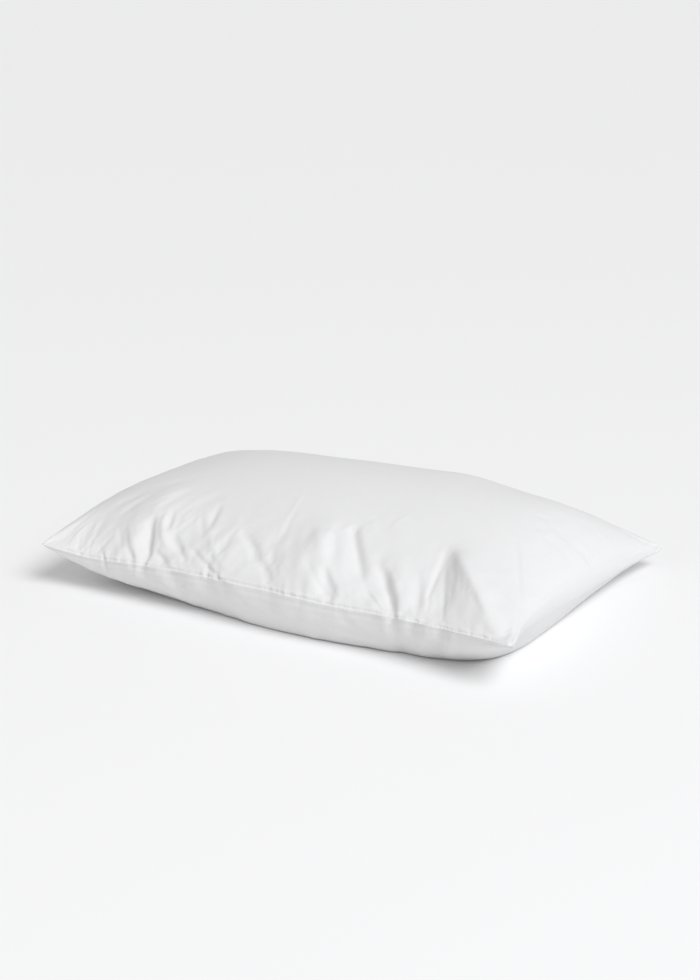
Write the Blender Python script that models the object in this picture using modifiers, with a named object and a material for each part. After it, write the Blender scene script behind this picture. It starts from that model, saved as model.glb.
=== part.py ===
"""A white cotton pillowcase filled with its pillow, lying on its back face.

Two cloth faces meet on a plain seam that runs all round at about mid height.
The form is plump: the crown is fullest in the middle, the sides are drawn in
between the corners, and each corner ends in a thin pointed ear.

Frame: origin under the middle of the resting face, +X along the long side,
+Y along the short side towards the far edge, +Z up. Units are metres.
"""
import bpy
import bmesh
import numpy as np

# ---------------------------------------------------------------- dimensions
HALF_LENGTH = 0.333        # corner to corner along X, halved
HALF_WIDTH = 0.2335        # corner to corner along Y, halved
CROWN_HEIGHT = 0.0739      # crown above the level of the seam
BELLY_DEPTH = 0.119        # how fast the back face drops from the seam
CELLS_X = 28               # cage cells along the length
CELLS_Y = 18               # cage cells along the width
EDGE_PACKING = 0.42        # how much closer the cage rows stand at the edges
SEAM_CREASE = 0.9          # sharpness of the sewn edge
WELD = 0.00005             # merge distance of the two faces along the seam
ROLL = 0.003               # height over which the back face rolls onto flat
REST_U, REST_V = 0.70, 0.60  # the part of the back face that lies flat
REST_RISE = 0.050          # how the back face rises away from that part
REST_GAP = 0.0018          # where that rise ends

# Long seams. u runs from -1 (left) to +1 (right).
#         u      front_z  front_in  back_z   back_in
LONG_SEAMS = [
    (-1.00, 0.0545, 0.0000, 0.0480, 0.0000),
    (-0.78, 0.0455, 0.0143, 0.0530, 0.0141),
    (-0.54, 0.0508, 0.0163, 0.0565, 0.0209),
    (-0.28, 0.0538, 0.0156, 0.0570, 0.0231),
    (+0.00, 0.0552, 0.0119, 0.0575, 0.0236),
    (+0.28, 0.0527, 0.0139, 0.0575, 0.0227),
    (+0.54, 0.0539, 0.0168, 0.0555, 0.0211),
    (+0.78, 0.0557, 0.0103, 0.0475, 0.0136),
    (+1.00, 0.0584, 0.0000, 0.0235, 0.0000),
]

# End seams. v runs from -1 (front) to +1 (back).
#         v      left_z   left_in   right_z  right_in
END_SEAMS = [
    (-1.00, 0.0545, 0.0000, 0.0584, 0.0000),
    (-0.70, 0.0635, 0.0107, 0.0607, 0.0160),
    (-0.36, 0.0640, 0.0148, 0.0606, 0.0190),
    (+0.00, 0.0592, 0.0155, 0.0531, 0.0168),
    (+0.36, 0.0584, 0.0149, 0.0449, 0.0153),
    (+0.70, 0.0570, 0.0107, 0.0353, 0.0118),
    (+1.00, 0.0480, 0.0000, 0.0235, 0.0000),
]

# Corner ears: where each tip stands against the plain rectangle.
#        corner        side_u side_v  move_x   move_y
EARS = [
    ("front_left",     -1, -1, +0.0139, +0.0125),
    ("front_right",    +1, -1, -0.0010, -0.0009),
    ("back_right",     +1, +1, -0.0065, -0.0050),
    ("back_left",      -1, +1, +0.0000, +0.0000),
]

# Fullness of the two faces: (1 - |t|^roundness)^steepness along each side.
#        face     round_u steep_u round_v steep_v
FULLNESS = {
    "crown": (2.61, 0.60, 1.85, 0.98),
    "belly": (2.54, 0.58, 2.54, 0.58),
}

# Swells: broad soft hills (+) and hollows (-) on one face.
#        face     at_u   at_v   reach_u reach_v height
SWELLS = [
    ("crown", -0.90, -0.42, 0.24, 0.33, +0.0090),
    ("crown", -0.90, -0.85, 0.24, 0.33, -0.0038),
    ("crown", -0.45, +0.42, 0.34, 0.33, -0.0034),
    ("crown", -0.25, +0.55, 0.20, 0.30, -0.0022),
    ("crown", +0.33, +0.60, 0.15, 0.30, +0.0054),
    ("crown", +0.60, -0.85, 0.24, 0.33, -0.0031),
    ("crown", +0.90, +0.42, 0.24, 0.33, +0.0083),
    ("belly", -0.60, -0.85, 0.45, 0.33, +0.0085),
    ("belly", +0.00, -0.85, 0.24, 0.33, -0.0198),
    ("belly", +0.45, -0.85, 0.34, 0.33, -0.0125),
    ("belly", +0.90, -0.42, 0.24, 0.33, -0.0396),
    ("belly", +0.90, +0.00, 0.24, 0.33, -0.0135),
]

# Main folds of the upper face: from one end to the other, valley (-) or
# ridge (+), half width of the cross section.
#        u0      v0      u1      v1      width   height
FOLDS = [
    (+0.25, -0.58, +0.38, -0.86, 0.011, -0.0055),
    (+0.22, -0.62, +0.34, -0.93, 0.012, +0.0040),
    (+0.44, -0.76, +0.56, -1.00, 0.012, -0.0095),
    (+0.59, -0.54, +0.60, -0.90, 0.016, +0.0060),
    (+0.63, -0.52, +0.88, -0.96, 0.014, -0.0080),
    (+0.80, -0.24, +0.95, -0.66, 0.012, +0.0030),
    (-0.56, -0.76, -0.52, -0.96, 0.010, -0.0070),
    (-0.56, -0.68, -0.46, -0.92, 0.012, +0.0045),
    (-0.34, -0.68, -0.16, -0.96, 0.012, -0.0040),
    (-0.07, -0.40, +0.02, -0.76, 0.016, +0.0035),
    (+0.14, -0.60, +0.28, -0.92, 0.012, -0.0040),
]

# ------------------------------------------------------------------ cleaning
for old in list(bpy.data.objects):
    bpy.data.objects.remove(old, do_unlink=True)


# ------------------------------------------------------------------ the form
def table_curve(t, rows, column):
    """Smooth curve through one column of a table, by its first column."""
    xs = np.array([row[0] for row in rows])
    ys = np.array([row[column] for row in rows])
    slope = np.gradient(ys, xs)
    t = np.clip(t, xs[0], xs[-1])
    i = np.clip(np.searchsorted(xs, t) - 1, 0, len(xs) - 2)
    h = xs[i + 1] - xs[i]
    r = (t - xs[i]) / h
    return ((2 * r**3 - 3 * r**2 + 1) * ys[i]
            + (r**3 - 2 * r**2 + r) * h * slope[i]
            + (3 * r**2 - 2 * r**3) * ys[i + 1]
            + (r**3 - r**2) * h * slope[i + 1])


def outline(u, v):
    """Plan position of a point of either face."""
    front = table_curve(u, LONG_SEAMS, 2)
    back = table_curve(u, LONG_SEAMS, 4)
    left = table_curve(v, END_SEAMS, 2)
    right = table_curve(v, END_SEAMS, 4)
    x = HALF_LENGTH * u + left * (1 - u) / 2 - right * (1 + u) / 2
    y = HALF_WIDTH * v + front * (1 - v) / 2 - back * (1 + v) / 2
    for _name, su, sv, move_x, move_y in EARS:
        near = ((1 + su * u) / 2 * (1 + sv * v) / 2) ** 6
        x = x + move_x * near
        y = y + move_y * near
    return x, y


def seam_level(u, v):
    """Height of the seam, carried smoothly across the middle."""
    front = table_curve(u, LONG_SEAMS, 1)
    back = table_curve(u, LONG_SEAMS, 3)
    left = table_curve(v, END_SEAMS, 1)
    right = table_curve(v, END_SEAMS, 3)
    fl, fr = LONG_SEAMS[0][1], LONG_SEAMS[-1][1]
    bl, br = LONG_SEAMS[0][3], LONG_SEAMS[-1][3]
    a, b = (u + 1) / 2, (v + 1) / 2
    flat = ((1 - a) * (1 - b) * fl + a * (1 - b) * fr
            + a * b * br + (1 - a) * b * bl)
    return (1 - b) * front + b * back + (1 - a) * left + a * right - flat


def dome(face, u, v):
    round_u, steep_u, round_v, steep_v = FULLNESS[face]
    return (np.maximum(1 - abs(u) ** round_u, 0) ** steep_u
            * np.maximum(1 - abs(v) ** round_v, 0) ** steep_v)


def swell(face, u, v):
    total = 0.0
    for name, cu, cv, reach_u, reach_v, height in SWELLS:
        if name == face:
            total += height * np.exp(-((u - cu) / reach_u) ** 2
                                     - ((v - cv) / reach_v) ** 2)
    return total * (1 - abs(u) ** 6) * (1 - abs(v) ** 6)


def fold(u, v):
    """Height that the folds add at a point, fading out at their ends."""
    total = 0.0
    for u0, v0, u1, v1, width, height in FOLDS:
        ax, ay = HALF_LENGTH * u0, HALF_WIDTH * v0
        dx, dy = HALF_LENGTH * (u1 - u0), HALF_WIDTH * (v1 - v0)
        length = np.hypot(dx, dy)
        px, py = HALF_LENGTH * u - ax, HALF_WIDTH * v - ay
        along = (px * dx + py * dy) / length**2
        across = (px * dy - py * dx) / length
        fade = np.exp(-(max(0.0, 0.15 - along, along - 0.9) / 0.16) ** 2)
        total += height * fade * np.exp(-(across / width) ** 2)
    return total


def settled(z):
    """Rolls a height softly onto the flat resting face at zero."""
    if z > ROLL:
        return z
    return max(0.0, z + ROLL) ** 2 / (4 * ROLL)


def resting(u, v):
    """Lift of the back face outside the part that lies flat."""
    off = max(0.0, (abs(u) - REST_U) / (1 - REST_U),
              (abs(v) - REST_V) / (1 - REST_V))
    return min(REST_GAP, REST_RISE * off)


def face_point(face, u, v):
    x, y = outline(u, v)
    z = seam_level(u, v)
    rim = max(abs(u), abs(v)) ** 8
    push = fold(u, v)
    if face == "crown":
        z += CROWN_HEIGHT * dome("crown", u, v) + swell("crown", u, v)
        z += push * (1 - rim)
    else:
        z -= BELLY_DEPTH * dome("belly", u, v)
        z = settled(z + swell("belly", u, v)) + resting(u, v) * (1 - rim)
        push *= rim
    # Near the seam a fold pushes sideways, the same way on both faces.
    x += push * u * abs(u) ** 7
    y += push * v * abs(v) ** 7
    return x, y, z


def packed(t):
    """Cage rows stand closer together towards the sewn edges."""
    return (1 - EDGE_PACKING) * t + EDGE_PACKING * np.sin(t * np.pi / 2)


# ------------------------------------------------------------------ the cage
def add_face(bm, face):
    """One cloth face: a plain grid carried onto the form."""
    made = bmesh.ops.create_grid(bm, x_segments=CELLS_X, y_segments=CELLS_Y,
                                 size=1.0)
    for vert in made["verts"]:
        u, v = packed(vert.co.x), packed(vert.co.y)
        vert.co = face_point(face, float(u), float(v))
    if face == "belly":
        turned = {f for vert in made["verts"] for f in vert.link_faces}
        bmesh.ops.reverse_faces(bm, faces=list(turned))
    return made["verts"]


def build_case(collection):
    bm = bmesh.new()
    add_face(bm, "crown")
    add_face(bm, "belly")

    # The sewn edge and its four tips stay clear when the form is smoothed.
    line = bm.edges.layers.float.new("crease_edge")
    tip = bm.verts.layers.float.new("crease_vert")
    rim = [edge for edge in bm.edges if edge.is_boundary]
    for edge in rim:
        edge[line] = SEAM_CREASE
    rim_verts = list({vert for edge in rim for vert in edge.verts})
    for vert in rim_verts:
        if len(vert.link_faces) == 1:
            vert[tip] = 1.0
    bmesh.ops.remove_doubles(bm, verts=rim_verts, dist=WELD)
    for f in bm.faces:
        f.smooth = True

    # Origin at the middle of the resting face.
    xs = [v.co.x for v in bm.verts]
    ys = [v.co.y for v in bm.verts]
    mid_x, mid_y = (min(xs) + max(xs)) / 2, (min(ys) + max(ys)) / 2
    for v in bm.verts:
        v.co.x -= mid_x
        v.co.y -= mid_y

    mesh = bpy.data.meshes.new("pillowcase")
    bm.normal_update()
    bm.to_mesh(mesh)
    bm.free()
    case = bpy.data.objects.new("pillowcase", mesh)
    collection.objects.link(case)
    smooth = case.modifiers.new("soft_form", "SUBSURF")
    smooth.levels = 1
    smooth.render_levels = 1
    return case


def cotton():
    mat = bpy.data.materials.new("white_cotton")
    mat.use_nodes = True
    shader = mat.node_tree.nodes["Principled BSDF"]
    shader.inputs["Base Color"].default_value = (0.80, 0.803, 0.806, 1.0)
    shader.inputs["Roughness"].default_value = 0.85
    shader.inputs["Metallic"].default_value = 0.0
    mat.diffuse_color = (0.80, 0.803, 0.806, 1.0)
    return mat


collection = bpy.data.collections.new("filled_pillowcase")
bpy.context.scene.collection.children.link(collection)
pillowcase = build_case(collection)
pillowcase.data.materials.append(cotton())
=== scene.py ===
import math
import bpy
import numpy as np
from mathutils import Matrix, Vector


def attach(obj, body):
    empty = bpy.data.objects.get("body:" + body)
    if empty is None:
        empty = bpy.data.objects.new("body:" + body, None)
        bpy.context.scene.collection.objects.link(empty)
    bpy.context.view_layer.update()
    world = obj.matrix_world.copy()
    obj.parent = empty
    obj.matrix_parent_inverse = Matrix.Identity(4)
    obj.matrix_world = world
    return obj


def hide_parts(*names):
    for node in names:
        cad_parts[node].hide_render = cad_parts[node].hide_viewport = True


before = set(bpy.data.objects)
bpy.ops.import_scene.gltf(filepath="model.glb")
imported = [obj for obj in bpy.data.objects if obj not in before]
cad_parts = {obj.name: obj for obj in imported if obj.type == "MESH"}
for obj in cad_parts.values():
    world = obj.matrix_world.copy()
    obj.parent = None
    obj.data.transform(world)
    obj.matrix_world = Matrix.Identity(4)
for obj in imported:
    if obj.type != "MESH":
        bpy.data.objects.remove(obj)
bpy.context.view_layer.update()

# =====================================================================
# 1. The form. The same frame and the same rows as the solid, in metres.
# =====================================================================
HALF_LENGTH, HALF_WIDTH = 0.333, 0.2335
CROWN_HEIGHT, BELLY_DEPTH = 0.0739, 0.119
ROLL = 0.003
CUT = (0.70, 0.50)            # the case before it was filled, as cut

#    u      front_z  front_in  back_z   back_in
LONG_SEAMS = np.array([
    (-1.00, 0.0545, 0.0000, 0.0445, 0.0000),
    (-0.78, 0.0455, 0.0143, 0.0530, 0.0141),
    (-0.54, 0.0508, 0.0163, 0.0565, 0.0209),
    (-0.28, 0.0538, 0.0156, 0.0570, 0.0231),
    (+0.00, 0.0552, 0.0119, 0.0575, 0.0236),
    (+0.28, 0.0527, 0.0139, 0.0575, 0.0227),
    (+0.54, 0.0539, 0.0168, 0.0555, 0.0211),
    (+0.78, 0.0557, 0.0103, 0.0475, 0.0136),
    (+1.00, 0.0584, 0.0000, 0.0235, 0.0000),
])
#    v      left_z   left_in   right_z  right_in
END_SEAMS = np.array([
    (-1.00, 0.0545, 0.0000, 0.0584, 0.0000),
    (-0.70, 0.0635, 0.0107, 0.0607, 0.0160),
    (-0.36, 0.0640, 0.0148, 0.0606, 0.0190),
    (+0.00, 0.0592, 0.0155, 0.0531, 0.0168),
    (+0.36, 0.0584, 0.0149, 0.0449, 0.0153),
    (+0.70, 0.0570, 0.0107, 0.0353, 0.0118),
    (+1.00, 0.0445, 0.0000, 0.0235, 0.0000),
])
#    side_u side_v  move_x   move_y
EARS = [
    (-1, -1, +0.0139, +0.0125),
    (+1, -1, -0.0010, -0.0009),
    (+1, +1, -0.0065, -0.0050),
]
FULLNESS = {"crown": (2.61, 0.60, 1.85, 0.98), "belly": (2.54, 0.58, 2.54, 0.58)}
#    face     at_u   at_v   reach_u reach_v height
SWELLS = [
    ("crown", -0.90, -0.42, 0.24, 0.33, +0.0090),
    ("crown", -0.90, -0.85, 0.24, 0.33, -0.0038),
    ("crown", -0.45, +0.42, 0.34, 0.33, -0.0034),
    ("crown", -0.25, +0.55, 0.20, 0.30, -0.0022),
    ("crown", +0.33, +0.60, 0.15, 0.30, +0.0054),
    ("crown", +0.60, -0.85, 0.24, 0.33, -0.0031),
    ("crown", +0.90, +0.42, 0.24, 0.33, +0.0083),
    ("belly", -0.60, -0.85, 0.45, 0.33, +0.0085),
    ("belly", +0.00, -0.85, 0.24, 0.33, -0.0198),
    ("belly", +0.45, -0.85, 0.34, 0.33, -0.0125),
    ("belly", +0.90, -0.42, 0.24, 0.33, -0.0396),
    ("belly", +0.90, +0.00, 0.24, 0.33, -0.0135),
]

# The folds that give the case its look. Each runs through
# three panel places, from the middle of the face out to the seam; past -1 the
# second number goes on over the front seam and down the other face. Widths are
# at both ends, in mm. Dip and crest lie side by side along the line, in mm,
# and the last three numbers say how strong the fold is along its way.
#    u0      v0      u1      v1      u2      v2    wide0 wide1  dip  crest  start mid  end
FOLDS = [
    (-0.690, -0.800, -0.626, -0.890, -0.565, -0.985, 4.5, 4.5, 2.4, 1.4, 0.3, 1.0, 0.7),
    (-0.717, -0.796, -0.670, -0.868, -0.623, -0.933, 4.0, 4.0, 1.4, 0.8, 0.4, 1.0, 0.3),
    (-0.578, -0.745, -0.535, -0.868, -0.512, -0.975, 7.0, 9.0, 7.0, 1.2, 0.5, 1.0, 0.6),
    (-0.540, -0.700, -0.505, -0.820, -0.430, -0.900, 4.5, 4.5, 0.0, 3.2, 0.4, 1.0, 0.2),
    (-0.523, -0.677, -0.506, -0.733, -0.497, -0.783, 4.5, 4.5, 2.2, 1.2, 0.4, 1.0, 0.4),
    (-0.457, -0.808, -0.401, -0.868, -0.348, -0.930, 4.5, 4.5, 2.4, 1.2, 0.4, 1.0, 0.5),
    (-0.486, -0.902, -0.430, -0.960, -0.350, -1.008, 6.0, 8.0, 5.0, 1.4, 0.4, 1.0, 0.8),
    (-0.403, -0.655, -0.363, -0.721, -0.332, -0.777, 4.5, 4.5, 1.6, 1.0, 0.4, 1.0, 0.4),
    (-0.346, -0.577, -0.334, -0.661, -0.321, -0.743, 5.0, 5.0, 2.0, 1.2, 0.3, 1.0, 0.5),
    (-0.330, -0.720, -0.264, -0.849, -0.161, -0.936, 8.0, 10., 0.0, 3.4, 0.3, 1.0, 0.7),
    (-0.160, -0.700, -0.061, -0.808, +0.050, -0.930, 9.0, 13., 3.2, 0.8, 0.3, 1.0, 0.5),
    (-0.192, -0.711, -0.132, -0.758, -0.090, -0.793, 5.0, 5.0, 1.2, 0.6, 0.4, 1.0, 0.4),
    (-0.030, -0.483, -0.010, -0.608, -0.001, -0.738, 7.0, 7.0, 1.4, 0.6, 0.2, 1.0, 0.4),
    (+0.095, -0.640, +0.190, -0.780, +0.290, -0.930, 7.0, 10., 2.6, 1.6, 0.2, 1.0, 0.9),
    (+0.103, -0.714, +0.150, -0.793, +0.214, -0.880, 7.0, 7.0, 1.4, 0.8, 0.4, 1.0, 0.4),
    (+0.248, -0.565, +0.310, -0.684, +0.380, -0.820, 6.5, 8.5, 5.4, 1.4, 0.7, 1.0, 0.2),
    (+0.225, -0.643, +0.270, -0.780, +0.340, -0.920, 9.0, 12., 0.0, 3.6, 0.3, 1.0, 0.6),
    (+0.300, -0.405, +0.270, -0.505, +0.262, -0.583, 5.0, 5.0, 1.2, 0.9, 0.3, 1.0, 0.6),
    (+0.401, -0.336, +0.366, -0.424, +0.363, -0.511, 6.0, 6.0, 1.2, 0.9, 0.3, 1.0, 0.5),
    (+0.418, -0.745, +0.520, -0.915, +0.560, -1.090, 6.0, 10., 3.8, 0.8, 0.4, 1.0, 0.8),
    (+0.614, -0.550, +0.622, -0.740, +0.606, -0.950, 8.0, 20., 2.4, 0.0, 0.6, 1.0, 0.5),
    (-0.448, -1.001, -0.408, -1.026, -0.339, -1.070, 10., 12., 0.0, 4.0, 0.6, 1.0, 0.5),
    (-0.260, -1.003, -0.210, -1.030, -0.130, -1.080, 8.0, 9.0, 2.0, 0.0, 0.6, 1.0, 0.3),
    (+0.480, -1.003, +0.500, -1.030, +0.520, -1.080, 9.0, 9.0, 0.0, 3.0, 0.5, 1.0, 0.5),
    (+0.597, -1.002, +0.597, -1.020, +0.588, -1.060, 4.5, 5.0, 3.0, 0.0, 0.6, 1.0, 0.4),
    (+0.668, -1.002, +0.652, -1.026, +0.615, -1.080, 7.0, 7.0, 0.0, 3.0, 0.4, 1.0, 0.4),
    (+0.708, -1.002, +0.710, -1.024, +0.699, -1.080, 5.0, 5.0, 3.4, 0.0, 0.5, 1.0, 0.4),
    (+0.761, -1.002, +0.757, -1.030, +0.728, -1.110, 6.0, 6.0, 0.0, 2.4, 0.4, 1.0, 0.4),
]

# Softer folds of the sides that face away, in the same columns. They are a
# guess in the manner of the front; past +1 or -1 they go on over the seam.
FAR_FOLDS = [
    (-0.700, +0.740, -0.660, +0.860, -0.640, +1.010, 5.0, 7.0, 3.0, 1.5, 0.3, 1.0, 0.7),
    (-0.520, +0.700, -0.500, +0.850, -0.430, +1.020, 6.0, 9.0, 3.6, 1.8, 0.2, 1.0, 0.8),
    (-0.470, +0.800, -0.420, +0.880, -0.400, +0.960, 4.5, 5.0, 1.8, 1.0, 0.4, 1.0, 0.3),
    (-0.290, +0.690, -0.320, +0.830, -0.310, +0.990, 5.0, 8.0, 2.8, 1.6, 0.2, 1.0, 0.6),
    (-0.150, +0.760, -0.120, +0.870, -0.130, +0.970, 6.0, 7.0, 0.0, 2.4, 0.3, 1.0, 0.5),
    (-0.020, +0.700, -0.040, +0.850, +0.010, +1.020, 5.0, 9.0, 3.6, 1.4, 0.2, 1.0, 0.8),
    (+0.110, +0.740, +0.140, +0.860, +0.130, +0.970, 4.5, 6.0, 2.2, 1.2, 0.3, 1.0, 0.4),
    (+0.240, +0.690, +0.270, +0.840, +0.330, +1.010, 6.0, 9.0, 3.2, 1.6, 0.2, 1.0, 0.8),
    (+0.420, +0.740, +0.400, +0.870, +0.420, +0.980, 5.0, 7.0, 2.8, 1.4, 0.3, 1.0, 0.5),
    (+0.560, +0.790, +0.545, +0.880, +0.560, +0.980, 4.5, 6.0, 1.8, 0.9, 0.3, 1.0, 0.5),
    (-0.780, +0.560, -0.880, +0.600, -0.990, +0.580, 5.0, 7.0, 2.2, 1.0, 0.2, 1.0, 0.6),
    (-0.800, +0.300, -0.900, +0.330, -1.010, +0.300, 5.0, 7.0, 2.0, 1.0, 0.2, 1.0, 0.7),
    (-0.820, +0.050, -0.900, +0.030, -0.990, +0.060, 4.5, 6.0, 1.4, 0.8, 0.2, 1.0, 0.6),
    (-0.800, +0.780, -0.880, +0.830, -0.960, +0.850, 4.0, 5.0, 1.6, 0.8, 0.3, 1.0, 0.4),
    (+0.820, +0.420, +0.900, +0.440, +0.990, +0.420, 5.0, 6.0, 0.9, 0.6, 0.2, 1.0, 0.5),
]

# Broad facets: soft ridges that fall off steeply on the left of their line and
# gently on its right. Reach at both ends and on both sides in mm, height in mm.
#    u0      v0      u1      v1      u2      v2    left0 left1 right0 right1 high start mid  end
FACETS = [
    (+0.650, -0.530, +0.776, -0.718, +0.935, -0.965, 10., 44., 16., 32., 15., 0.2, 1.0, 0.12),
    (+0.664, -0.565, +0.780, -0.730, +0.940, -0.965, 5.0, 9.0, 16., 26., 6.0, 0.2, 1.0, 0.3),
    (+0.436, -0.740, +0.508, -0.850, +0.550, -0.970, 8.0, 10., 20., 28., 7.0, 0.4, 1.0, 0.7),
    (-0.962, -0.900, -0.958, -0.300, -0.945, +0.450, 7.0, 8.0, 24., 28., 3.0, 0.3, 1.0, 0.5),
    (+0.150, -0.600, +0.165, -0.780, +0.215, -0.960, 30., 38., 16., 24., 14., 0.3, 1.0, 0.2),
    (-0.660, -0.780, -0.600, -0.880, -0.560, -0.980, 14., 16., 7.0, 8.0, 2.0, 0.3, 1.0, 0.7),
    (-0.640, -0.400, -0.625, -0.700, -0.590, -0.960, 60., 60., 38., 38., 9.5, 0.1, 1.0, 0.2),
    (-0.250, -0.700, -0.180, -0.840, -0.080, -0.960, 18., 22., 10., 12., 2.2, 0.3, 1.0, 0.7),
]

# Sharp lines and fine streaks, in the same columns, laid on the settled cloth.
CREASES = [
    (-0.735, -0.935, -0.712, -0.975, -0.695, -1.020, 2.6, 3.0, 1.6, 0.8, 0.4, 1.0, 0.5),
    (-0.859, -0.768, -0.846, -0.827, -0.839, -0.877, 5.0, 5.0, 0.6, 0.4, 0.3, 1.0, 0.3),
    (-0.372, -0.850, -0.270, -0.915, -0.150, -1.003, 2.4, 3.2, 1.3, 0.9, 0.1, 1.0, 0.7),
    (-0.152, -1.001, -0.110, -1.007, -0.059, -1.017, 1.8, 1.4, 0.5, 1.8, 0.8, 1.0, 0.2),
    (-0.330, -0.883, -0.268, -0.930, -0.212, -0.965, 2.6, 2.6, 1.0, 0.5, 0.3, 1.0, 0.4),
    (-0.066, -0.358, -0.045, -0.533, -0.032, -0.700, 2.4, 3.0, 0.0, 0.7, 0.3, 1.0, 0.5),
    (+0.152, -0.574, +0.161, -0.664, +0.201, -0.752, 3.0, 3.0, 0.3, 0.8, 0.3, 1.0, 0.3),
    (+0.170, -0.560, +0.185, -0.640, +0.225, -0.720, 3.0, 3.0, 0.3, 0.6, 0.3, 1.0, 0.3),
    (+0.160, -0.830, +0.215, -0.900, +0.280, -0.960, 3.0, 3.0, 0.8, 0.5, 0.3, 1.0, 0.5),
    (+0.405, -0.895, +0.439, -0.930, +0.472, -0.965, 2.4, 2.4, 1.5, 0.8, 0.5, 1.0, 0.6),
    (+0.540, -0.560, +0.575, -0.520, +0.612, -0.515, 3.0, 3.0, 0.9, 0.4, 0.3, 1.0, 0.5),
    (+0.780, -0.200, +0.868, -0.390, +0.970, -0.660, 2.0, 2.2, 1.4, 0.8, 0.3, 1.0, 0.2),
    (+0.712, +0.178, +0.866, +0.128, +0.985, +0.163, 3.0, 3.0, 4.0, 1.6, 0.0, 1.0, 0.9),
    (+0.725, +0.070, +0.850, -0.010, +0.968, +0.000, 3.0, 3.2, 2.4, 1.0, 0.0, 1.0, 0.4),
    (+0.890, +0.900, +0.945, +0.768, +0.980, +0.690, 3.0, 3.0, 0.8, 0.4, 0.4, 1.0, 0.4),
    (-0.828, -0.861, -0.838, -0.790, -0.857, -0.700, 5.0, 5.5, 0.6, 0.5, 0.3, 1.0, 0.3),
    (-0.777, -0.699, -0.742, -0.610, -0.690, -0.520, 7.0, 8.0, 1.3, 0.7, 0.3, 1.0, 0.3),
    (-0.843, -0.589, -0.765, -0.515, -0.665, -0.440, 7.0, 8.0, 1.3, 0.7, 0.3, 1.0, 0.3),
    (-0.800, -0.480, -0.700, -0.400, -0.600, -0.330, 7.0, 8.0, 1.1, 0.6, 0.3, 1.0, 0.2),
    (-0.599, -0.689, -0.585, -0.600, -0.555, -0.500, 7.0, 7.0, 1.2, 0.7, 0.3, 1.0, 0.3),
    (-0.866, -0.946, -0.878, -0.870, -0.899, -0.793, 4.5, 5.0, 0.5, 0.4, 0.3, 1.0, 0.3),
    (-0.640, -0.640, -0.600, -0.560, -0.540, -0.470, 4.0, 5.0, 0.7, 0.7, 0.3, 1.0, 0.3),
    (-0.470, -0.620, -0.440, -0.540, -0.390, -0.460, 8.0, 9.0, 0.9, 0.5, 0.3, 1.0, 0.2),
    (+0.230, -1.023, +0.326, -1.050, +0.440, -1.070, 1.4, 1.6, 0.0, 1.5, 0.3, 1.0, 0.4),
    (+0.310, -1.003, +0.361, -1.012, +0.506, -1.060, 1.6, 2.0, 0.8, 0.8, 0.4, 1.0, 0.4),
    (-0.020, -1.004, +0.050, -1.018, +0.130, -1.040, 2.0, 2.6, 0.8, 0.8, 0.4, 1.0, 0.3),
]


def curve(t, rows, column):
    """Smooth curve through one column of a table, by its first column."""
    xs, ys = rows[:, 0], rows[:, column]
    slope = np.gradient(ys, xs)
    t = np.clip(t, xs[0], xs[-1])
    i = np.clip(np.searchsorted(xs, t) - 1, 0, len(xs) - 2)
    h = xs[i + 1] - xs[i]
    r = (t - xs[i]) / h
    return ((2 * r**3 - 3 * r**2 + 1) * ys[i] + (r**3 - 2 * r**2 + r) * h * slope[i]
            + (3 * r**2 - 2 * r**3) * ys[i + 1] + (r**3 - r**2) * h * slope[i + 1])


def outline(u, v):
    x = HALF_LENGTH * u + curve(v, END_SEAMS, 2) * (1 - u) / 2 - curve(v, END_SEAMS, 4) * (1 + u) / 2
    y = HALF_WIDTH * v + curve(u, LONG_SEAMS, 2) * (1 - v) / 2 - curve(u, LONG_SEAMS, 4) * (1 + v) / 2
    for su, sv, move_x, move_y in EARS:
        near = ((1 + su * u) / 2 * (1 + sv * v) / 2) ** 6
        x = x + move_x * near
        y = y + move_y * near
    return x, y


def seam_level(u, v):
    front, back = curve(u, LONG_SEAMS, 1), curve(u, LONG_SEAMS, 3)
    left, right = curve(v, END_SEAMS, 1), curve(v, END_SEAMS, 3)
    fl, fr, bl, br = LONG_SEAMS[0, 1], LONG_SEAMS[-1, 1], LONG_SEAMS[0, 3], LONG_SEAMS[-1, 3]
    a, b = (u + 1) / 2, (v + 1) / 2
    flat = (1 - a) * (1 - b) * fl + a * (1 - b) * fr + a * b * br + (1 - a) * b * bl
    return (1 - b) * front + b * back + (1 - a) * left + a * right - flat


def dome(face, u, v):
    ru, su, rv, sv = FULLNESS[face]
    return (np.maximum(1 - np.abs(u) ** ru, 0) ** su * np.maximum(1 - np.abs(v) ** rv, 0) ** sv)


def swell(face, u, v):
    total = np.zeros_like(u)
    for name, cu, cv, reach_u, reach_v, height in SWELLS:
        if name == face:
            total += height * np.exp(-((u - cu) / reach_u) ** 2 - ((v - cv) / reach_v) ** 2)
    return total * (1 - np.abs(u) ** 6) * (1 - np.abs(v) ** 6)


def settled(z):
    """Rolls heights softly onto the flat resting face at zero."""
    return np.where(z > ROLL, z, np.maximum(0.0, z + ROLL) ** 2 / (4 * ROLL))


def face(name, u, v):
    x, y = outline(u, v)
    z = seam_level(u, v)
    if name == "crown":
        z = z + CROWN_HEIGHT * dome("crown", u, v) + swell("crown", u, v)
    else:
        z = settled(z - BELLY_DEPTH * dome("belly", u, v) + swell("belly", u, v))
    return np.stack([x, y, z], -1)


# The middle of the outline is the origin.
_rim = np.linspace(-1, 1, 401)
_one = np.ones_like(_rim)
_all = np.concatenate([np.stack(outline(_rim, s * _one), -1) for s in (-1, 1)]
                      + [np.stack(outline(s * _one, _rim), -1) for s in (-1, 1)])
MIDDLE = np.array([*(_all.min(0) + _all.max(0)) / 2, 0.0])


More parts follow.
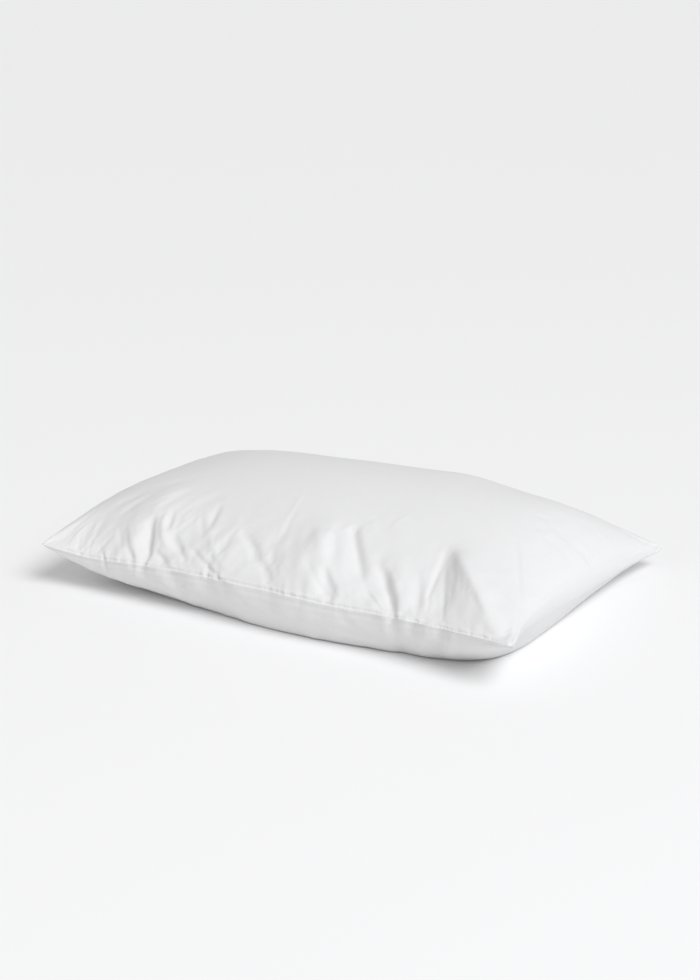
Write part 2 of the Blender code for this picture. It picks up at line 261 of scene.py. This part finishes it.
# ---------------------------------------------------------------------
# Folds
# ---------------------------------------------------------------------
def fold_height(u, v, rows, slope=0.0):
    """Height in metres that rows of folds or facets add at panel places u, v.

    Slope is the share of each fold that spreads as a wide, gentle shoulder.
    """
    px, py = HALF_LENGTH * u, HALF_WIDTH * v
    total = np.zeros_like(px)
    steps = np.linspace(0, 1, 15)
    for u0, v0, u1, v1, u2, v2, wide0, wide1, *more in rows:
        facet = len(more) == 6
        if facet:
            right0, right1, crest, start, mid, end = more
            wide = 1.2 * max(wide0, wide1, right0, right1)
        else:
            dip, crest, start, mid, end = more
            crest *= 0.75 if dip else 1.0
            wide = max(wide0, wide1)
        k0, k1, k2 = (1 - steps) * (1 - 2 * steps), 4 * steps * (1 - steps), steps * (2 * steps - 1)
        qx = HALF_LENGTH * (k0 * u0 + k1 * u1 + k2 * u2)
        qy = HALF_WIDTH * (k0 * v0 + k1 * v1 + k2 * v2)
        reach = (3.2 + 4.0 * (slope > 0 and not facet)) * wide * 0.001
        near = ((px > qx.min() - reach) & (px < qx.max() + reach)
                & (py > qy.min() - reach) & (py < qy.max() + reach))
        if not near.any():
            continue
        x, y = px[near], py[near]
        best = np.full(x.shape, 9.0)
        side, t_at = np.zeros_like(x), np.zeros_like(x)
        for i in range(len(steps) - 1):
            dx, dy = qx[i + 1] - qx[i], qy[i + 1] - qy[i]
            length = math.hypot(dx, dy)
            ax, ay = x - qx[i], y - qy[i]
            r = np.clip((ax * dx + ay * dy) / length**2, 0, 1)
            ex, ey = ax - r * dx, ay - r * dy
            far = np.hypot(ex, ey)
            s = (ay * dx - ax * dy) / length
            hit = far < best
            best = np.where(hit, far, best)
            side = np.where(hit, s, side)
            t_at = np.where(hit, (i + r) / (len(steps) - 1), t_at)
        # Past either end the fold dies away over its own width.
        over = np.sqrt(np.maximum(best**2 - side**2, 0))
        w = (wide0 + (wide1 - wide0) * t_at) * 0.001
        j0, j1, j2 = (1 - t_at) * (1 - 2 * t_at), 4 * t_at * (1 - t_at), t_at * (2 * t_at - 1)
        strong = np.maximum(j0 * start + j1 * mid + j2 * end, 0)
        if facet:
            w_right = (right0 + (right1 - right0) * t_at) * 0.001
            sway = np.where(side < 0, side / w, side / w_right)
            total[near] += 0.001 * crest * strong * np.exp(-sway**2 - (over / (0.4 * (w + w_right))) ** 2)
            continue
        strong = strong * np.exp(-(over / (0.8 * w)) ** 2)
        apart = 0.7 if dip and crest else 0.0
        lift = crest * np.exp(-(side / w - apart) ** 2) - dip * np.exp(-(side / w + apart) ** 2)
        if slope:
            far = side / (2.7 * w)
            lift += slope * (crest * np.exp(-(far - apart) ** 2) - dip * np.exp(-(far + 0.4 * apart) ** 2))
        total[near] += 0.001 * strong * lift
    return total


def normals(grid):
    """Unit normals of a grid of points, up on a face whose rows run +X, +Y."""
    du, dv = np.gradient(grid, axis=0), np.gradient(grid, axis=1)
    n = np.cross(du, dv)
    return n / np.maximum(np.linalg.norm(n, axis=-1, keepdims=True), 1e-12)


def raised(crown, belly, u, v, up, down):
    """Moves both faces out along their normals; at the seam they move as one."""
    n_up, n_down = normals(crown), -normals(belly)
    shared = n_up + n_down
    shared /= np.maximum(np.linalg.norm(shared, axis=-1, keepdims=True), 1e-9)
    rho = np.maximum(np.abs(u), np.abs(v))
    b = np.clip((rho - 0.86) / 0.14, 0, 1)[..., None]
    b = b * b * (3 - 2 * b)
    n_up = n_up * (1 - b) + shared * b
    n_down = n_down * (1 - b) + shared * b
    n_up /= np.maximum(np.linalg.norm(n_up, axis=-1, keepdims=True), 1e-9)
    n_down /= np.maximum(np.linalg.norm(n_down, axis=-1, keepdims=True), 1e-9)
    edge = rho > 1 - 1e-9
    both = np.where(edge, (up + down) / 2, 0)
    up, down = np.where(edge, both, up), np.where(edge, both, down)
    return crown + n_up * up[..., None], belly + n_down * down[..., None]


def folded(crown, belly, u, v, rows):
    over = ((u, -2 - v), (u, 2 - v), (-2 - u, v), (2 - u, v))
    down = sum(fold_height(a, b, rows, 0.3) for a, b in over)
    return raised(crown, belly, u, v, fold_height(u, v, rows, 0.3), down)


# ---------------------------------------------------------------------
# Grids
# ---------------------------------------------------------------------
def packed(n, k):
    t = np.linspace(-1, 1, n)
    return (1 - k) * t + k * np.sin(t * np.pi / 2)


def drawn(n, k):
    t = np.linspace(-1, 1, n)
    return np.tanh(k * t) / math.tanh(k)


def spline(at, n):
    """Matrix that reads a natural cubic spline through n even points."""
    a = np.zeros((n, n))
    b = np.zeros((n, n))
    a[0, 0] = a[-1, -1] = 1
    for i in range(1, n - 1):
        a[i, i - 1:i + 2] = (1, 4, 1)
        b[i, i - 1:i + 2] = (6, -12, 6)
    bend = np.linalg.solve(a, b)
    i = np.clip(np.floor(at).astype(int), 0, n - 2)
    f = at - i
    one = np.eye(n)
    return ((1 - f)[:, None] * one[i] + f[:, None] * one[i + 1]
            + (((1 - f) ** 3 - (1 - f)) / 6)[:, None] * bend[i]
            + ((f**3 - f) / 6)[:, None] * bend[i + 1])


def case_mesh(name, crown, belly, u, v):
    """One closed mesh: the two faces share the points of the seam."""
    nu, nv = crown.shape[:2]
    inner = np.zeros((nu, nv), bool)
    inner[1:-1, 1:-1] = True
    top = np.arange(nu * nv).reshape(nu, nv)
    low = top.copy()
    low[inner] = nu * nv + np.arange(inner.sum())
    points = np.concatenate([crown.reshape(-1, 3), belly[inner]])
    a, b, c, d = top[:-1, :-1], top[1:, :-1], top[1:, 1:], top[:-1, 1:]
    up = np.stack([a, b, c, d], -1).reshape(-1, 4)
    a, b, c, d = low[:-1, :-1], low[1:, :-1], low[1:, 1:], low[:-1, 1:]
    down = np.stack([a, d, c, b], -1).reshape(-1, 4)
    faces = np.concatenate([up, down])
    mesh = bpy.data.meshes.new(name)
    mesh.vertices.add(len(points))
    mesh.vertices.foreach_set("co", points.astype(np.float32).ravel())
    mesh.loops.add(faces.size)
    mesh.loops.foreach_set("vertex_index", faces.astype(np.int32).ravel())
    mesh.polygons.add(len(faces))
    mesh.polygons.foreach_set("loop_start", np.arange(0, faces.size, 4, dtype=np.int32))
    mesh.polygons.foreach_set("use_smooth", np.ones(len(faces), bool))
    mesh.update()
    # Cloth coordinates in metres, each face on its own part of the plane.
    uv = mesh.uv_layers.new(name="cloth")
    su, sv = u * CUT[0] / 2, v * CUT[1] / 2
    flat_top = np.stack([su, sv], -1).reshape(-1, 2)
    flat_low = np.stack([su, sv + 0.6], -1).reshape(-1, 2)
    iu = np.arange(nu * nv).reshape(nu, nv)
    a, b, c, d = iu[:-1, :-1], iu[1:, :-1], iu[1:, 1:], iu[:-1, 1:]
    up_i = np.stack([a, b, c, d], -1).reshape(-1)
    down_i = np.stack([a, d, c, b], -1).reshape(-1)
    uv.data.foreach_set("uv", np.concatenate([flat_top[up_i], flat_low[down_i]]).astype(np.float32).ravel())
    mesh.validate()
    ob = bpy.data.objects.new(name, mesh)
    bpy.context.scene.collection.objects.link(ob)
    return ob


# ---------------------------------------------------------------------
# The cloth is sewn to its cut size, held softly to the form by the filling
# and pushed out by it, so that the slack gathers into folds at the seams.
# ---------------------------------------------------------------------
SIM = dict(cut=(0.685, 0.485), frames=20, quality=6, mass=0.02, pressure=20.0,
           tension=80, compression=80, shear=20, bending=0.02,
           damp=1.0, bend_damp=0.1, hold=0.15, hold_low=0.8, hold_rim=0.15,
           reach=0.014, form=0.035)


def simulate(u, v, crown, belly):
    """Blender's cloth on the sewn case; returns the two faces as settled."""
    nu, nv = u.shape
    ob = case_mesh("cloth_at_work", crown, belly, u, v)
    inner = np.zeros((nu, nv), bool)
    inner[1:-1, 1:-1] = True
    start = np.concatenate([crown.reshape(-1, 3), belly[inner]])
    flat = np.stack([u * SIM["cut"][0] / 2, v * SIM["cut"][1] / 2, np.zeros_like(u)], -1)
    cut = np.concatenate([flat.reshape(-1, 3) + (0, 0, 0.0005), flat[inner] - (0, 0, 0.0005)])
    ob.shape_key_add(name="Basis")
    key = ob.shape_key_add(name="cut")
    key.value = 0
    key.data.foreach_set("co", cut.astype(np.float32).ravel())
    hold = np.concatenate([np.where(inner, SIM["hold"], SIM["hold_rim"]).ravel(),
                           np.full(inner.sum(), SIM["hold_low"])])
    group = ob.vertex_groups.new(name="hold")
    for value in np.unique(hold):
        group.add(np.nonzero(hold == value)[0].tolist(), float(value), "REPLACE")
    cloth = ob.modifiers.new("cloth", "CLOTH")
    st = cloth.settings
    st.quality, st.mass, st.air_damping = SIM["quality"], SIM["mass"], 1.0
    st.tension_stiffness, st.compression_stiffness = SIM["tension"], SIM["compression"]
    st.shear_stiffness, st.bending_stiffness = SIM["shear"], SIM["bending"]
    st.tension_damping = st.compression_damping = st.shear_damping = SIM["damp"]
    st.bending_damping = SIM["bend_damp"]
    st.vertex_group_mass, st.pin_stiffness = "hold", 1.0
    st.rest_shape_key = key
    st.use_pressure, st.uniform_pressure_force = True, SIM["pressure"]
    st.effector_weights.gravity = 0
    cloth.collision_settings.use_collision = False
    cloth.point_cache.frame_start, cloth.point_cache.frame_end = 1, SIM["frames"]
    scene = bpy.context.scene
    for frame_no in range(1, SIM["frames"] + 1):
        scene.frame_set(frame_no)
    settled_mesh = ob.evaluated_get(bpy.context.evaluated_depsgraph_get()).to_mesh()
    co = np.empty(len(start) * 3, np.float32)
    settled_mesh.vertices.foreach_get("co", co)
    co = co.reshape(-1, 3).astype(float)
    scene.frame_set(1)
    bpy.data.objects.remove(ob, do_unlink=True)
    # No point moves further than the cap.
    move = co - start
    far = np.linalg.norm(move, axis=1, keepdims=True)
    print("cloth moved mm: mean %.2f most %.2f" % (far.mean() * 1e3, far.max() * 1e3))
    move *= np.minimum(1.0, SIM["reach"] / np.maximum(far, 1e-9))
    top = move[:nu * nv].reshape(nu, nv, 3)
    low = top.copy()
    low[inner] = move[nu * nv:]
    # The folds are kept, and the broad form stays where the filling holds it.
    wu, wv = u[:, 0] * HALF_LENGTH, v[0] * HALF_WIDTH

    def broad(w, size):
        m = np.exp(-((w[:, None] - w[None]) / size) ** 2 / 2) * np.gradient(w)[None]
        return m / m.sum(1, keepdims=True)

    mu, mv = broad(wu, SIM["form"]), broad(wv, SIM["form"])
    slow_top = np.einsum("ai,ijk,bj->abk", mu, top, mv, optimize=True)
    slow_low = np.einsum("ai,ijk,bj->abk", mu, low, mv, optimize=True)
    b = (np.maximum(np.abs(u), np.abs(v)) ** 12)[..., None]
    slow = (slow_top + slow_low) / 2
    top = crown + top - (slow_top * (1 - b) + slow * b)
    low = belly + low - (slow_low * (1 - b) + slow * b)
    low[..., 2] = np.maximum(low[..., 2], 0)
    return top, low


NU, NV = 171, 71
KU, KV = 0.25, 0.42
U, V = np.meshgrid(packed(NU, KU), packed(NV, KV), indexing="ij")
crown = face("crown", U, V) - MIDDLE
belly = face("belly", U, V) - MIDDLE
crown, belly = folded(crown, belly, U, V, FOLDS + FAR_FOLDS + FACETS)
belly[..., 2] = np.maximum(belly[..., 2], 0)
crown, belly = simulate(U, V, crown, belly)

# The fine grid: rows stand closest along the seams.
FU, FV = 345, 143
read_u = spline(np.interp(drawn(FU, 1.1), packed(NU, KU), np.arange(NU)), NU)
read_v = spline(np.interp(drawn(FV, 1.9), packed(NV, KV), np.arange(NV)), NV)


def finer(grid):
    return np.einsum("ai,ij...,bj->ab...", read_u, grid, read_v, optimize=True)


crown, belly, UF, VF = finer(crown), finer(belly), finer(U), finer(V)
UF[0], UF[-1], VF[:, 0], VF[:, -1] = -1, 1, -1, 1


# ---------------------------------------------------------------------
# The seam: a thin sewn edge, the turned-in allowance beside it as a low band,
# and the puckers that the stitching draws in.
# ---------------------------------------------------------------------
def to_seam(grid):
    """Distance to the nearest seam over the cloth, and the place along it."""
    gu = np.concatenate([np.zeros((1, grid.shape[1])), np.linalg.norm(np.diff(grid, axis=0), axis=-1)]).cumsum(0)
    gv = np.concatenate([np.zeros((grid.shape[0], 1)), np.linalg.norm(np.diff(grid, axis=1), axis=-1)], 1).cumsum(1)
    return np.maximum(np.stack([gv, gv[:, -1:] - gv, gu, gu[-1:] - gu]), 0)


rng = np.random.default_rng(7)


def pucker_line(length, low, high, count):
    """Uneven wave along a seam, as a sum of waves low to high mm long."""
    waves = rng.uniform(low, high, count) * 0.001
    phase = rng.uniform(0, 2 * np.pi, count)
    power = rng.uniform(0.4, 1.0, count)

    def at(s, skew=0.0):
        return sum(p * np.sin(2 * np.pi * (s + skew) / w + f) for w, f, p in zip(waves, phase, power)) / count**0.5
    return at


def patchy(low, high, count, turn):
    """Uneven field of waves low to high mm long, most of them across X."""
    k = 2 * np.pi / (rng.uniform(low, high, count) * 0.001)
    way = rng.normal(0, turn, count)
    phase = rng.uniform(0, 2 * np.pi, count)

    def at(x, y):
        total = sum(np.sin(a * (x * np.cos(w) + y * np.sin(w)) + f) * np.sin(0.37 * a * (y * np.cos(w) - x * np.sin(w)) + 2 * f)
                    for a, w, f in zip(k, way, phase))
        return total / count**0.5
    return at


# Where the front seam is gathered most: from, to along u, and how much more.
GATHERS = np.array([(-0.30, +0.32, 1.1), (+0.60, +0.90, 0.4), (-0.66, -0.40, 0.5)])


def gathers(u):
    rise = (u[..., None] - GATHERS[:, 0]) / 0.05
    fall = (GATHERS[:, 1] - u[..., None]) / 0.05
    return (GATHERS[:, 2] * np.clip(np.minimum(rise, fall), 0, 1)).sum(-1)


lines = [pucker_line(1, 5.5, 18, 9) for _ in range(4)]
tight = [pucker_line(1, 60, 160, 4) for _ in range(4)]
dents = patchy(20, 52, 16, 0.6)
ups, downs = fold_height(UF, VF, CREASES), fold_height(UF, -2 - VF, CREASES)
for grid, out, band in ((crown, ups, 1.0), (belly, downs, 0.0)):
    sides = to_seam(grid)
    near = sides.min(0)
    # The end on the right is sewn flatter than the other sides.
    share = (sides + 1e-4) ** -2.0
    share = (share * np.array([1.0, 0.7, 0.35, 0.35])[:, None, None]).sum(0) / share.sum(0)
    corner = np.hypot(np.minimum(sides[0], sides[1]), np.minimum(sides[2], sides[3]))
    calm = 1 - np.exp(-(corner / 0.028) ** 2)
    # The allowance folded up inside each corner gives it some body.
    out += 0.0014 * np.exp(-(corner / 0.020) ** 2) * (1 - np.exp(-(near / 0.003) ** 2))
    share = share * (1 - 0.9 * np.exp(-(corner / 0.014) ** 2))
    out += share * (0.0003 * np.exp(-(near / 0.0016) ** 2)
                    - (0.0012 - 0.0005 * band) * np.exp(-((near - 0.0028) / 0.0016) ** 2))
    # Shallow uneven dents between the folds, deepest a little way in.
    held = np.clip(near / 0.012, 0, 1) * np.exp(-(near / 0.085) ** 2)
    out += share * calm * (0.0009 if band > 0 else 0.0006) * held * dents(HALF_LENGTH * UF, HALF_WIDTH * VF)
    if band > 0:
        step = np.clip((near - 0.0068) / 0.0016, 0, 1)
        out += share * 0.00070 * (1 - step * step * (3 - 2 * step)) * (1 - np.exp(-(near / 0.0045) ** 2))
    for k, (line, slack) in enumerate(zip(lines, tight)):
        d = sides[k]
        along = (HALF_LENGTH * UF if k < 2 else HALF_WIDTH * VF)
        amount = share * 0.00065 * np.clip(0.7 + 0.9 * slack(along), 0.05, 2.0) * (0.3 + 0.7 * band)
        if k == 0:
            amount = amount * (1 + gathers(UF))
        reach = 0.004 + 0.008 * band
        out += calm * amount * line(along, 0.3 * d) * np.exp(-(d / reach) ** 1.5) * (0.4 + 0.6 * np.clip(d / 0.003, 0, 1))

crown, belly = raised(crown, belly, UF, VF, ups, downs)
belly[..., 2] = np.maximum(belly[..., 2], 0)

case = case_mesh("pillowcase_cloth", crown, belly, UF, VF)
print("triangles", 2 * len(case.data.polygons))

# =====================================================================
# 2. Cotton: a plain weave of uneven yarn, washed and ironed
# =====================================================================


class Nodes:
    """Short calls for building a node tree."""

    def __init__(self, mat):
        mat.use_nodes = True
        self.tree = mat.node_tree
        self.shader = self.tree.nodes["Principled BSDF"]

    def add(self, kind, **settings):
        node = self.tree.nodes.new(kind)
        for key, value in settings.items():
            setattr(node, key, value)
        return node

    def put(self, value, socket):
        if isinstance(value, bpy.types.NodeSocket):
            self.tree.links.new(value, socket)
        else:
            socket.default_value = value

    def math(self, how, a, b=0.0, c=0.0, clamp=False):
        node = self.add("ShaderNodeMath", operation=how, use_clamp=clamp)
        for value, socket in zip((a, b, c), node.inputs):
            self.put(value, socket)
        return node.outputs[0]

    def range(self, value, low, high, to_low, to_high, smooth=True):
        node = self.add("ShaderNodeMapRange", interpolation_type="SMOOTHSTEP" if smooth else "LINEAR")
        for v, name in ((value, "Value"), (low, "From Min"), (high, "From Max"), (to_low, "To Min"), (to_high, "To Max")):
            self.put(v, node.inputs[name])
        return node.outputs["Result"]

    def noise(self, place, scale, detail=2.0, rough=0.5, stretch=(1, 1, 1)):
        mapping = self.add("ShaderNodeMapping")
        mapping.inputs["Scale"].default_value = stretch
        self.put(place, mapping.inputs["Vector"])
        node = self.add("ShaderNodeTexNoise")
        self.put(mapping.outputs[0], node.inputs["Vector"])
        node.inputs["Scale"].default_value = scale
        node.inputs["Detail"].default_value = detail
        node.inputs["Roughness"].default_value = rough
        return node.outputs["Fac"]


def cotton(name):
    mat = bpy.data.materials.new(name)
    n = Nodes(mat)
    cloth = n.add("ShaderNodeUVMap", uv_map="cloth").outputs["UV"]
    split = n.add("ShaderNodeSeparateXYZ")
    n.put(cloth, split.inputs[0])
    x, y = split.outputs["X"], split.outputs["Y"]

    # Plain weave, 0.32 mm from yarn to yarn, over and under by turns.
    pitch = 2 * math.pi / 0.00064
    warp = n.math("SINE", n.math("MULTIPLY", x, pitch))
    weft = n.math("SINE", n.math("MULTIPLY", y, pitch))
    weave = n.math("MULTIPLY_ADD", n.math("MULTIPLY", warp, weft), 0.5, 0.5)
    # Yarns that run a little thick and thin.
    slub_x = n.noise(cloth, 1.0, 2.0, 0.6, (1500, 45, 1))
    slub_y = n.noise(cloth, 1.0, 2.0, 0.6, (45, 1500, 1))
    slub = n.math("MULTIPLY", n.math("ADD", slub_x, slub_y), 0.5)
    yarn = n.math("MULTIPLY_ADD", slub, 1.2, n.math("MULTIPLY", weave, 0.8))

    # Fine slack that ironing leaves, finer than the modelled folds.
    slack = n.noise(cloth, 1.0, 3.0, 0.55, (60, 48, 1))

    # The distance to the seam, from the size of the cut.
    half_x, half_y = CUT[0] / 2, CUT[1] / 2
    y_face = n.math("SUBTRACT", y, n.math("MULTIPLY", n.math("GREATER_THAN", y, 0.3), 0.6))
    from_end = n.math("SUBTRACT", half_x, n.math("ABSOLUTE", x))
    from_side = n.math("SUBTRACT", half_y, n.math("ABSOLUTE", y_face))
    # Puckers close to the stitches, and the stitches' own small dimples.
    uneven = n.math("MULTIPLY", n.noise(cloth, 1.0, 2.0, 0.5, (120, 120, 1)), 14.0)
    puckers = []
    stitches = []
    face_share = n.math("MULTIPLY_ADD", n.math("LESS_THAN", y, 0.3), 0.75, 0.25)
    for along, away in ((x, from_side), (y_face, from_end)):
        wave = n.math("SINE", n.math("MULTIPLY_ADD", along, 2 * math.pi / 0.0058, uneven))
        close = n.range(away, 0.001, 0.009, 1.0, 0.0)
        puckers.append(n.math("MULTIPLY", n.math("MULTIPLY", wave, close), face_share))
        dots = n.math("SINE", n.math("MULTIPLY", along, 2 * math.pi / 0.0027))
        line = n.math("SUBTRACT", 1.0, n.math("MULTIPLY", n.math("ABSOLUTE", n.math("SUBTRACT", away, 0.0028)), 1600.0), clamp=True)
        stitches.append(n.math("MULTIPLY", line, n.math("MULTIPLY_ADD", dots, 0.35, 0.65)))
    pucker = n.math("ADD", *puckers)
    stitch_dent_and_shade = n.math("MAXIMUM", *stitches)

    # Colour: white cotton, a shade apart between yarns and across the cloth, with painted shade in the stitch
    # dimples.
    broad = n.noise(cloth, 1.0, 2.0, 0.5, (9, 11, 1))
    tone = n.math("ADD", n.math("MULTIPLY", broad, 0.020), n.math("MULTIPLY", yarn, 0.018))
    # Painted shade: the colour is drawn darker in the stitch dimples, as if shade fell in them.
    tone = n.math("SUBTRACT", tone, n.math("MULTIPLY", stitch_dent_and_shade, 0.03))
    ramp = n.add("ShaderNodeMix", data_type="RGBA")
    n.put(n.math("MULTIPLY_ADD", tone, 12.0, 0.15, clamp=True), ramp.inputs["Factor"])
    ramp.inputs["A"].default_value = (0.769, 0.768, 0.769, 1)
    ramp.inputs["B"].default_value = (0.819, 0.818, 0.819, 1)
    n.put(ramp.outputs["Result"], n.shader.inputs["Base Color"])
    rough = n.math("MULTIPLY_ADD", slub, 0.16, n.math("MULTIPLY_ADD", broad, 0.08, 0.70))
    n.put(rough, n.shader.inputs["Roughness"])
    n.shader.inputs["Sheen Weight"].default_value = 0.04
    n.shader.inputs["Sheen Roughness"].default_value = 0.45
    n.shader.inputs["Specular IOR Level"].default_value = 0.18

    previous = None
    for height, distance, strength in (
            (slack, 0.0012, 0.35),
            (pucker, 0.00022, 0.45), (n.math("SUBTRACT", 1.0, stitch_dent_and_shade), 0.00025, 0.5), (yarn, 0.00006, 0.5)):
        bump = n.add("ShaderNodeBump")
        bump.inputs["Strength"].default_value = strength
        bump.inputs["Distance"].default_value = distance
        n.put(height, bump.inputs["Height"])
        if previous is not None:
            n.put(previous, bump.inputs["Normal"])
        previous = bump.outputs["Normal"]
    n.put(previous, n.shader.inputs["Normal"])
    return mat


case.data.materials.append(cotton("white_cotton_cloth"))
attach(case, "root")
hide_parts("pillowcase")

# =====================================================================
# 3. Floor, light and camera
# =====================================================================
floor_mesh = bpy.data.meshes.new("floor")
s = 40.0
floor_mesh.from_pydata([(-s, -s, 0), (s, -s, 0), (s, s, 0), (-s, s, 0)], [], [(0, 1, 2, 3)])
floor = bpy.data.objects.new("floor", floor_mesh)
floor.location.z = -0.0006
bpy.context.scene.collection.objects.link(floor)
fmat = bpy.data.materials.new("pale_floor")
fmat.use_nodes = True
fb = fmat.node_tree.nodes["Principled BSDF"]
fb.inputs["Base Color"].default_value = (0.935, 0.935, 0.935, 1)
fb.inputs["Roughness"].default_value = 0.95
fb.inputs["Specular IOR Level"].default_value = 0.1
floor_mesh.materials.append(fmat)

world = bpy.data.worlds.new("studio")
bpy.context.scene.world = world
world.use_nodes = True
bg = world.node_tree.nodes["Background"]
bg.inputs["Color"].default_value = (1.0, 0.992, 0.992, 1)
bg.inputs["Strength"].default_value = 0.508


def area(name, where, at, size, power, colour=(1, 1, 1)):
    lamp = bpy.data.lights.new(name, "AREA")
    lamp.shape = "RECTANGLE"
    lamp.size, lamp.size_y = size
    lamp.energy = power
    lamp.color = colour
    ob = bpy.data.objects.new(name, lamp)
    bpy.context.scene.collection.objects.link(ob)
    ob.location = where
    ob.rotation_euler = (Vector(at) - Vector(where)).to_track_quat("-Z", "Y").to_euler()
    return ob


def sun(name, azimuth, elevation, strength, spread):
    """Even soft light; azimuth is turned from the front towards the right."""
    lamp = bpy.data.lights.new(name, "SUN")
    lamp.energy = strength
    lamp.angle = math.radians(spread)
    lamp.color = (0.972, 0.984, 1.0)
    ob = bpy.data.objects.new(name, lamp)
    bpy.context.scene.collection.objects.link(ob)
    a, e = math.radians(azimuth), math.radians(elevation)
    way = Vector((math.sin(a) * math.cos(e), -math.cos(a) * math.cos(e), math.sin(e)))
    ob.rotation_euler = way.to_track_quat("Z", "Y").to_euler()
    return ob


sun("key", 75, 50, 1.66, 34)
area("near_right", (1.6, -0.9, 1.5), (0, 0, 0.05), (1.2, 1.2), 5.0, (0.95, 0.972, 1.0))
area("low_front", (-0.5, -2.2, 0.35), (0, -0.2, 0.03), (1.6, 0.5), 2.0)

AZ, EL, DIST, FOCAL_PX = math.radians(29.7), math.radians(19.6), 2.514, 2000.0
back = Vector((math.sin(AZ) * math.cos(EL), -math.cos(AZ) * math.cos(EL), math.sin(EL)))
right = Vector((math.cos(AZ), math.sin(AZ), 0))
up = back.cross(right)
target = Vector((0, 0, 0.06)) - Vector(MIDDLE)
eye = target + back * DIST
look = target + right * -0.004 + up * 0.0515
cam_data = bpy.data.cameras.new("camera")
cam_data.sensor_width = 36.0
cam_data.lens = FOCAL_PX / 980 * 36.0
cam_data.clip_end = 100
cam = bpy.data.objects.new("camera", cam_data)
bpy.context.scene.collection.objects.link(cam)
forward = (look - eye).normalized()
side = forward.cross(Vector((0, 0, 1))).normalized()
top = side.cross(forward)
m = Matrix((side, top, -forward)).transposed().to_4x4()
m.translation = eye
cam.matrix_world = m
bpy.context.scene.camera = cam

view = bpy.context.scene.view_settings
view.view_transform = "Standard"
view.look = "None"
view.exposure = 0.0
view.gamma = 1.0
